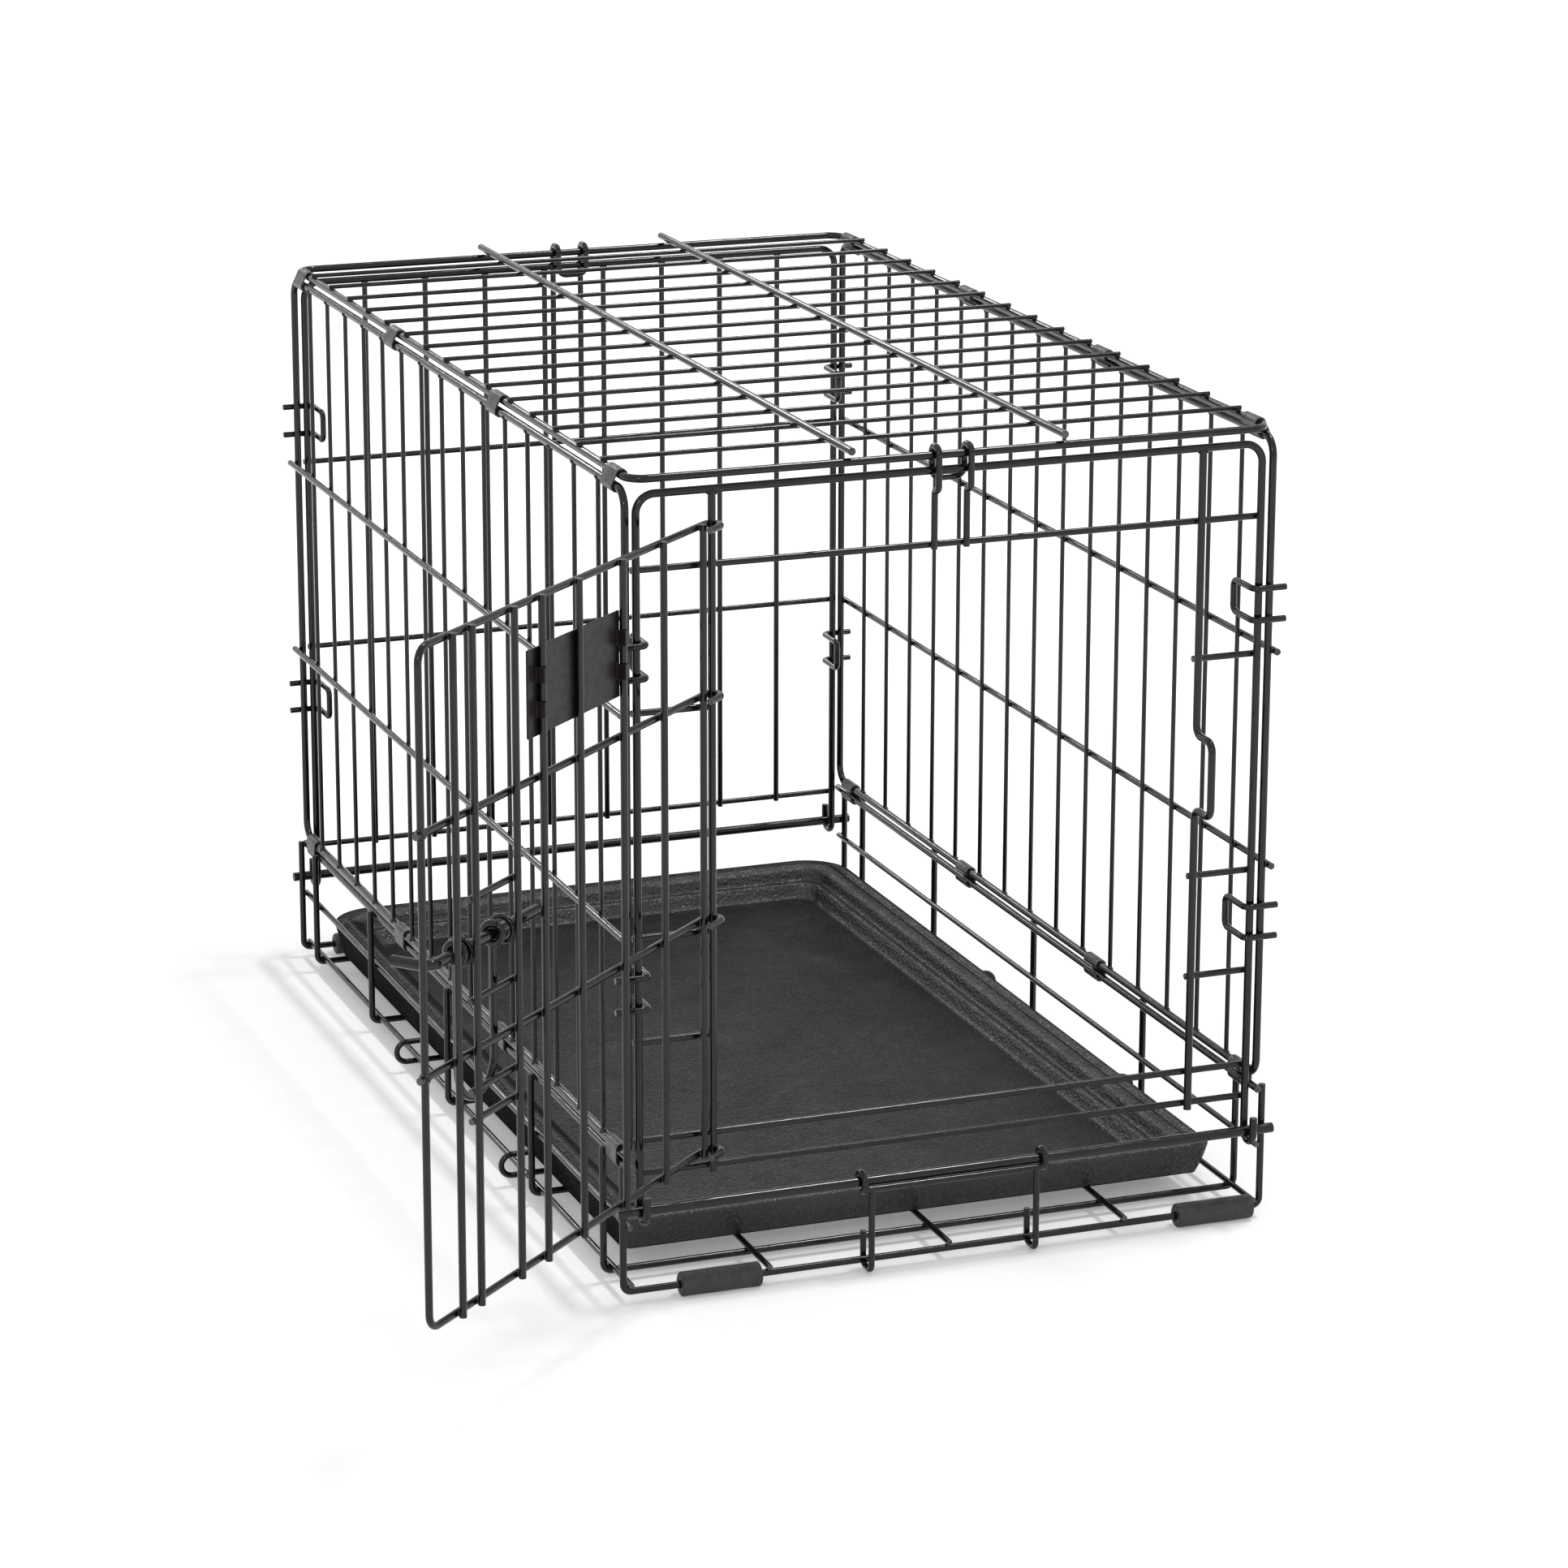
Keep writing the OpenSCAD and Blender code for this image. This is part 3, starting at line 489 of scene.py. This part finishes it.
def cut_faces(skin):
    """Centre, outward direction and radius of each round flat face."""
    found, seen = [], set()
    for face in skin.faces:
        if face.index in seen:
            continue
        seen.add(face.index)
        flat, grow = [face], [face]
        while grow:
            for edge in grow.pop().edges:
                for other in edge.link_faces:
                    if other.index not in seen and other.normal.dot(face.normal) > END_FLATNESS:
                        seen.add(other.index)
                        flat.append(other)
                        grow.append(other)
        if len(flat) < END_FACES:
            continue
        rim = {v for f in flat for v in f.verts}
        centre = sum((v.co for v in rim), Vector()) / len(rim)
        reach = [(v.co - centre).length for v in rim]
        if max(reach) < END_RADIUS and max(reach) - min(reach) < END_ROUNDNESS * max(reach):
            found.append((centre, face.normal.copy(), max(reach)))
    return found


def crossing_points(first, second):
    """Points where the skins of two wires that are welded together meet."""
    points = []
    for i, j in BVHTree.FromBMesh(first).overlap(BVHTree.FromBMesh(second)):
        for one, other in ((first.faces[i], second.faces[j]), (second.faces[j], first.faces[i])):
            a, b, c = (v.co for v in other.verts)
            for edge in one.edges:
                start, span = edge.verts[0].co, edge.verts[1].co - edge.verts[0].co
                hit = intersect_ray_tri(a, b, c, span, start, True)
                if hit is not None and 0 <= (hit - start).dot(span) <= span.length_squared:
                    points.append(hit)
    return points


def gather(points, reach):
    """Groups points that lie close together."""
    groups = []
    for point in points:
        for group in groups:
            if (group[0] - point).length < reach:
                group.append(point)
                break
        else:
            groups.append([point])
    return groups


def nugget(group):
    """Centre, turn and half sizes of the weld at one crossing."""
    cloud = np.array(group)
    centre = cloud.mean(0)
    spread, axes = np.linalg.eigh(np.cov((cloud - centre).T))
    half = np.sqrt(np.maximum(2 * spread, 0))
    turn = Matrix(axes[:, ::-1].tolist())
    if turn.determinant() < 0:
        turn = Matrix((-axes[:, ::-1]).tolist())
    sizes = (half[2] + WELD_PAD, half[1] + WELD_PAD, half[0] + WELD_PAD_THICK)
    return Vector(centre), turn.to_euler(), sizes


def make_bead_scatter():
    """Lumpy beads or low domes on points that carry their own turn and size."""
    tree, start, end = new_group(
        "scattered beads",
        [("Geometry", "NodeSocketGeometry", None), ("Segments", "NodeSocketInt", 12),
         ("Rings", "NodeSocketInt", 7), ("Lump Height", "NodeSocketFloat", 0.0),
         ("Lump Scale", "NodeSocketFloat", 700.0), ("Seed", "NodeSocketFloat", 3.0),
         ("Finish", "NodeSocketMaterial", None)],
        [("Geometry", "NodeSocketGeometry")], "GeometryNodeTree",
    )
    bead = add(tree, "GeometryNodeMeshUVSphere", {"Segments": start.outputs["Segments"],
                                                  "Rings": start.outputs["Rings"], "Radius": 1.0})
    turn = add(tree, "GeometryNodeInputNamedAttribute", {"Name": "turn"}, data_type="FLOAT_VECTOR")
    size = add(tree, "GeometryNodeInputNamedAttribute", {"Name": "size"}, data_type="FLOAT_VECTOR")
    spots = add(tree, "GeometryNodeMeshToPoints", {"Mesh": start.outputs["Geometry"]})
    placed = add(tree, "GeometryNodeInstanceOnPoints", {
        "Points": spots.outputs[0], "Instance": bead.outputs["Mesh"],
        "Rotation": turn.outputs["Attribute"], "Scale": size.outputs["Attribute"]})
    real = add(tree, "GeometryNodeRealizeInstances", {"Geometry": placed.outputs[0]})
    noise = add(tree, "ShaderNodeTexNoise", {
        "W": start.outputs["Seed"], "Scale": start.outputs["Lump Scale"], "Detail": 1.0},
        noise_dimensions="4D")
    lumps = calc(tree, "SUBTRACT", noise.outputs[0], 0.5)
    rise = calc(tree, "MULTIPLY", lumps, start.outputs["Lump Height"])
    facing = add(tree, "GeometryNodeInputNormal")
    push = add(tree, "ShaderNodeVectorMath", {0: facing.outputs[0], "Scale": rise}, operation="SCALE")
    lumpy = add(tree, "GeometryNodeSetPosition", {"Geometry": real.outputs[0], "Offset": push.outputs[0]})
    smooth = add(tree, "GeometryNodeSetShadeSmooth", {"Geometry": lumpy.outputs[0], "Shade Smooth": True})
    painted = add(tree, "GeometryNodeSetMaterial", {"Geometry": smooth.outputs[0],
                                                    "Material": start.outputs["Finish"]})
    feed(tree, end.inputs["Geometry"], painted.outputs[0])
    return tree


BEAD_SCATTER = make_bead_scatter()


def plain_mesh(obj, tree, inputs):
    """Runs a Geometry Nodes tree on the object and keeps its result as a plain mesh."""
    grown = obj.modifiers.new("grown", "NODES")
    grown.node_group = tree
    for item in tree.interface.items_tree:
        if item.in_out == "INPUT" and item.name in inputs:
            grown[item.identifier] = inputs[item.name]
    bpy.context.view_layer.update()
    graph = bpy.context.evaluated_depsgraph_get()
    made = bpy.data.meshes.new_from_object(obj.evaluated_get(graph), depsgraph=graph)
    obj.modifiers.remove(grown)
    obj.data = made


def bead_piece(name, body, spots, finish, **inputs):
    """One piece of beads for a body, from (centre, turn, half sizes)."""
    mesh = bpy.data.meshes.new(name)
    mesh.from_pydata([tuple(s[0]) for s in spots], [], [])
    for label, column in (("turn", 1), ("size", 2)):
        held = mesh.attributes.new(label, "FLOAT_VECTOR", "POINT")
        held.data.foreach_set("vector", [x for s in spots for x in s[column]])
    obj = bpy.data.objects.new(name, mesh)
    scene.collection.objects.link(obj)
    plain_mesh(obj, BEAD_SCATTER, {"Finish": finish, **inputs})
    obj.data.name = name
    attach(obj, body)


def boxes_meet(one, other):
    low_a, high_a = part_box(one)
    low_b, high_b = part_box(other)
    return all(low_a[k] < high_b[k] and low_b[k] < high_a[k] for k in range(3))


def end_spots(names, skins):
    """Where the cut ends of one body's wires lie, as (centre, turn, half sizes)."""
    spots = []
    for name in names:
        for centre, facing, radius in cut_faces(skins[name]):
            spots.append((centre, facing.to_track_quat("Z", "Y").to_euler(), (radius, radius, DOME * radius)))
    return spots


def weld_spots(names, skins):
    """Where the wires of one body are welded together, as (centre, turn, half sizes)."""
    spots = []
    for i, one in enumerate(names):
        for other in names[i + 1:]:
            if boxes_meet(one, other):
                groups = gather(crossing_points(skins[one], skins[other]), WELD_REACH)
                spots += [nugget(g) for g in groups if len(g) > WELD_LEAST]
    return spots


bodies = {}
for name in nodes:
    if node_slot[name] == "black_wire":
        bodies.setdefault(body_of(nodes[name])[0], []).append(name)
skins = {name: solid_skin(nodes[name]) for names in bodies.values() for name in names}

for body, names in sorted(bodies.items()):
    ends = end_spots(sorted(names), skins)
    if ends:
        bead_piece("cut_ends_" + body, body, ends, CUT_END_PAINTED_GLINT, Segments=16, Rings=7)
    welds = weld_spots(sorted(names), skins)
    if welds:
        bead_piece("weld_nuggets_" + body, body, welds, WELD_COAT,
                   **{"Segments": 10, "Rings": 6, "Lump Height": WELD_LUMPS, "Lump Scale": 900.0})
for skin in skins.values():
    skin.free()


# ---------------------------------------------------------------- pieces from points
def arc(centre, radius, start, stop, count):
    """Points along an arc, both ends included."""
    steps = [start + (stop - start) * i / (count - 1) for i in range(count)]
    return [(centre[0] + radius * math.cos(a), centre[1] + radius * math.sin(a)) for a in steps]


SEAM_REACH = 0.005 * MM


def new_piece(name, verts, faces, finish, body, replaced=(), modifiers=()):
    """A smooth-shaded piece from millimetre points, its normals turned outwards."""
    mesh = bpy.data.meshes.new(name)
    mesh.from_pydata([(x * MM, y * MM, z * MM) for x, y, z in verts], [], faces)
    skin = bmesh.new()
    skin.from_mesh(mesh)
    bmesh.ops.remove_doubles(skin, verts=skin.verts, dist=SEAM_REACH)
    bmesh.ops.recalc_face_normals(skin, faces=skin.faces)
    skin.to_mesh(mesh)
    skin.free()
    mesh.polygons.foreach_set("use_smooth", [True] * len(mesh.polygons))
    mesh.materials.append(finish)
    obj = bpy.data.objects.new(name, mesh)
    scene.collection.objects.link(obj)
    for kind, settings in modifiers:
        made = obj.modifiers.new(kind.lower(), kind)
        for key, value in settings.items():
            setattr(made, key, value)
    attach(obj, body)
    if replaced:
        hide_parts(*replaced)
    return obj


# ---------------------------------------------------------------- moulded tray
# sizes of the tray, the slot backs and the sleeves are in millimetres
tray_low, tray_high = (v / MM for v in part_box("tray"))
TRAY_X = tray_high.x
TRAY_RISE = tray_high.z - tray_low.z
TRAY_SHEET = 2.0
TRAY_FLOOR = 2.2
LEDGE = 9.9
# inward distance and height of the sheet's outer side, from the skirt's foot to the floor
RIM = [(5.4, 0.4), (5.0, 1.6), (3.6, 6.0), (1.9, 11.2), (0.9, 14.6), (0.5, 15.7), (0.4, 16.4), (0.7, 17.0),
       (1.3, 17.4), (2.1, 17.5), (3.0, 17.5), (3.6, 17.5), (4.3, 17.5), (5.0, 17.5), (5.8, 17.5), (6.6, 17.5),
       (7.4, 17.5), (8.1, 17.5), (8.8, 17.5), (9.6, 17.45), (11.0, 17.3), (12.4, 17.0), (13.6, 16.5),
       (14.5, 15.8), (15.1, 14.8), (15.9, 12.4), (16.5, 10.9), (17.1, 10.2), (17.9, LEDGE), (19.6, LEDGE),
       (20.5, 9.6), (21.2, 8.9), (22.6, 5.8), (23.8, 3.4), (24.7, 2.6), (25.8, 2.25), (27.5, TRAY_FLOOR)]
GROOVE_IN, GROOVE_HALF, GROOVE_DEPTH = 5.8, 2.7, 2.2
GROOVE_FRONT, GROOVE_REAR = 13.0, 22.0
# the groove stays between these inward distances
GROOVE_BAND = (2, 11)
FRONT_CORNER, REAR_CORNER = 5.0, 27.0
CORNER_LEAST, CORNER_GROWTH = 0.5, 0.42
FRONT_SPLIT, REAR_SPLIT = 30, 24
# parts of a side's length at which it is split, closer together where the groove ends
SIDE_STEPS = [0, 0.004, 0.008, 0.012, 0.016, 0.02, 0.024, 0.028, 0.034, 0.04, 0.05, 0.07, 0.1, 0.16, 0.25,
              0.35, 0.45, 0.55, 0.65, 0.75, 0.84, 0.88, 0.9, 0.915, 0.93, 0.94, 0.948, 0.956, 0.964, 0.972,
              0.98, 0.99, 1]


def tray_ring(inset):
    """The closed outline at one inward distance, anticlockwise from the front left."""
    least = CORNER_LEAST + CORNER_GROWTH * inset
    front = max(FRONT_CORNER - inset, least)
    rear = max(REAR_CORNER - inset, least)
    x = TRAY_X - inset
    y0, y1 = tray_low.y + inset, tray_high.y - inset
    ring = [(-x + front + 2 * (x - front) * i / FRONT_SPLIT, y0) for i in range(1, FRONT_SPLIT)]
    ring += arc((x - front, y0 + front), front, -math.pi / 2, 0, 9)
    ring += [(x, y0 + front + (y1 - rear - y0 - front) * t) for t in SIDE_STEPS[1:-1]]
    ring += arc((x - rear, y1 - rear), rear, 0, math.pi / 2, 15)
    ring += [(x - rear - 2 * (x - rear) * i / REAR_SPLIT, y1) for i in range(1, REAR_SPLIT)]
    ring += arc((-x + rear, y1 - rear), rear, math.pi / 2, math.pi, 15)
    ring += [(-x, y1 - rear - (y1 - rear - y0 - front) * (1 - t)) for t in SIDE_STEPS[-2:0:-1]]
    ring += arc((-x + front, y0 + front), front, math.pi, 1.5 * math.pi, 9)
    return ring


def groove_depth(x, y):
    """Depth of the round-ended channel along each side rim."""
    middle = TRAY_X - GROOVE_IN
    near = min(max(y, tray_low.y + GROOVE_FRONT), tray_high.y - GROOVE_REAR)
    away = math.hypot(abs(x) - middle, y - near) / GROOVE_HALF
    return GROOVE_DEPTH * 0.5 * (1 + math.cos(math.pi * min(away, 1)))


def build_tray():
    """The tray's outer side ring by ring, made a sheet by a live modifier."""
    verts, faces = [], []
    for inset, rise in RIM:
        for x, y in tray_ring(inset):
            drop = groove_depth(x, y) if GROOVE_BAND[0] < inset < GROOVE_BAND[1] else 0
            verts.append((x, y, tray_low.z + min(rise, TRAY_RISE) - drop))
    around = len(tray_ring(0))
    for level in range(len(RIM) - 1):
        for i in range(around):
            j = (i + 1) % around
            a, b = level * around, (level + 1) * around
            faces.append((a + i, a + j, b + j, b + i))
    faces.append(tuple(range((len(RIM) - 1) * around, len(RIM) * around)))
    new_piece("moulded_tray", verts, faces, TRAY_PLASTIC, "tray", ("tray",),
              [("SOLIDIFY", {"thickness": TRAY_SHEET * MM, "offset": -1, "use_even_offset": False})])


build_tray()


# ---------------------------------------------------------------- backs of the plate's four slots
# turn of the open door and place of its hinge post
DOOR_TURN = math.radians(-138.0)
HINGE_X, HINGE_Y = -119.7, -277.0
# distances of the slots from the post and their heights
SLOT_MIDDLES, SLOT_HEIGHTS = (88.6, 160.1), (322.4, 337.8)
SLOT_HALF_WIDTH, SLOT_HALF_HEIGHT = 1.5, 4.0
SLOT_BACK, SLOT_FRONT = 2.75, 3.15


def on_door(u, out, z):
    """A point on the open door from its distance to the post, its distance outwards and its height."""
    along_x, along_y = math.cos(DOOR_TURN), math.sin(DOOR_TURN)
    return (HINGE_X + along_x * u + along_y * out, HINGE_Y + along_y * u - along_x * out, z)


BOX_FACES = ((0, 1, 3, 2), (4, 6, 7, 5), (0, 4, 5, 1), (2, 3, 7, 6), (0, 2, 6, 4), (1, 5, 7, 3))


def build_slot_backs():
    """Four flat-faced blocks that close the slots from behind."""
    verts, faces = [], []
    for middle in SLOT_MIDDLES:
        for height in SLOT_HEIGHTS:
            faces += [tuple(i + len(verts) for i in f) for f in BOX_FACES]
            verts += [on_door(middle + a * SLOT_HALF_WIDTH, out, height + b * SLOT_HALF_HEIGHT)
                      for a in (-1, 1) for out in (SLOT_BACK, SLOT_FRONT) for b in (-1, 1)]
    made = new_piece("plate_slot_backs", verts, faces, PLATE_PLASTIC, "door")
    made.data.polygons.foreach_set("use_smooth", [False] * len(made.data.polygons))


build_slot_backs()


# ---------------------------------------------------------------- rubber sleeves
SLEEVE_LENGTH = 40.0
SLEEVE_BORE, BORE_EDGE = 1.8, 0.5
END_ROUND = 1.1
WALL_SPLIT, SLEEVE_SIDES = 12, 40
# two waves that make the wall uneven, and how far it is drawn in so that it stays in its box
SWELL_ROUND, SWELL_ALONG, DRAW_IN = 0.06, 0.05, 0.11


def sleeve(low, high, seed):
    """Verts and faces of one sleeve along X: round ends, a bore, a slightly uneven wall."""
    radius = (high.z - low.z) / 2
    middle_y, middle_z = (low.y + high.y) / 2, (low.z + high.z) / 2
    rounding = [(END_ROUND * (1 - math.cos(a)), radius - END_ROUND * (1 - math.sin(a)))
                for a in (i * math.pi / 12 for i in range(7))]
    left = [(low.x + BORE_EDGE, SLEEVE_BORE), (low.x, SLEEVE_BORE + BORE_EDGE)]
    left += [(low.x + d, r) for d, r in rounding]
    right = [(low.x + high.x - x, r) for x, r in reversed(left)]
    span = right[0][0] - left[-1][0]
    wall = [(left[-1][0] + span * i / WALL_SPLIT, radius) for i in range(1, WALL_SPLIT)]
    profile = left + wall + right
    around = SLEEVE_SIDES
    verts, faces = [], []
    for k, (x, r) in enumerate(profile):
        for i in range(around):
            a = 2 * math.pi * i / around
            swell = SWELL_ROUND * math.sin(3 * a + seed + 0.3 * k)
            swell += SWELL_ALONG * math.sin(0.9 * k + 2 * seed)
            rr = r + (swell - DRAW_IN if r > radius - 1 else 0)
            verts.append((x, middle_y + rr * math.cos(a), middle_z + rr * math.sin(a)))
    for k in range(len(profile)):
        m = (k + 1) % len(profile)
        for i in range(around):
            j = (i + 1) % around
            faces.append((k * around + i, k * around + j, m * around + j, m * around + i))
    return verts, faces


def build_sleeves(name, node):
    """One piece for the two sleeves that a node holds, one at each end of its box."""
    low, high = (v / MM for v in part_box(node))
    verts, faces = [], []
    for n, x in enumerate((low.x, high.x - SLEEVE_LENGTH)):
        part, skin = sleeve(Vector((x, low.y, low.z)), Vector((x + SLEEVE_LENGTH, high.y, high.z)),
                            1.7 * n + len(name))
        faces += [tuple(i + len(verts) for i in f) for f in skin]
        verts += part
    new_piece(name, verts, faces, SLEEVE_RUBBER, "crate", (node,))


build_sleeves("front_rubber_sleeves", "front_feet")
build_sleeves("rear_rubber_sleeves", "rear_feet")


# ---------------------------------------------------------------- floor, backdrop light and lamps
FLOOR_HALF = 12.0
# distances from the middle between which the floor's own glow rises, and its strength at both
GLOW_NEAR, GLOW_FAR = 0.32, 0.95
GLOW_LEAST, GLOW_MOST = 0.22, 0.5
WORLD_STRENGTH = 0.58
WHITE = rgba(1.0, 1.0, 1.0)


def make_floor():
    """Pale floor: white where it is lit, keeping the soft shadow."""
    made, tree, shader, place = new_material("pale floor")
    shader.inputs["Base Color"].default_value = rgba(0.97, 0.97, 0.97)
    shader.inputs["Roughness"].default_value = 0.9
    shader.inputs["Specular IOR Level"].default_value = 0.0
    shader.inputs["Emission Color"].default_value = WHITE
    # far from the lamps the floor stays as white as it is near the object
    away = add(tree, "ShaderNodeVectorMath", {0: place}, operation="LENGTH").outputs["Value"]
    glow = remap(tree, away, GLOW_NEAR, GLOW_FAR, GLOW_LEAST, GLOW_MOST)
    feed(tree, shader.inputs["Emission Strength"], calc(tree, "MULTIPLY", background_rays(tree), glow))
    return made


mesh = bpy.data.meshes.new("floor")
mesh.from_pydata([(x * FLOOR_HALF, y * FLOOR_HALF, 0) for x, y in ((-1, -1), (1, -1), (1, 1), (-1, 1))],
                 [], [(0, 1, 2, 3)])
mesh.materials.append(make_floor())
floor = bpy.data.objects.new("floor", mesh)
scene.collection.objects.link(floor)

world = bpy.data.worlds.new("studio")
world.use_nodes = True
tree = world.node_tree
tree.nodes.clear()
dim = add(tree, "ShaderNodeBackground", {"Color": WHITE, "Strength": WORLD_STRENGTH})
white = add(tree, "ShaderNodeBackground", {"Color": WHITE, "Strength": 1.0})
mixed = add(tree, "ShaderNodeMixShader", {0: background_rays(tree), 1: dim.outputs[0], 2: white.outputs[0]})
add(tree, "ShaderNodeOutputWorld", {"Surface": mixed.outputs[0]})
scene.world = world


def softbox(name, place, aim, width, depth, watts):
    """A flat lamp turned to face a point."""
    data = bpy.data.lights.new(name, "AREA")
    data.shape = "RECTANGLE"
    data.size, data.size_y = width, depth
    data.energy = watts
    lamp = bpy.data.objects.new(name, data)
    lamp.location = place
    lamp.rotation_mode = "QUATERNION"
    lamp.rotation_quaternion = (Vector(aim) - Vector(place)).to_track_quat("-Z", "Y")
    scene.collection.objects.link(lamp)


softbox("overhead softbox", (1.75, 0.0, 5.0), (0, 0, 0.3), 1.3, 0.55, 92.0)
softbox("rear softbox", (-0.65, 5.9, 3.0), (0, 0, 0.3), 1.8, 0.3, 28.0)
softbox("front fill", (-1.6, -2.6, 1.5), (0, 0, 0.2), 0.8, 0.5, 10.0)

scene.view_settings.view_transform = "Standard"
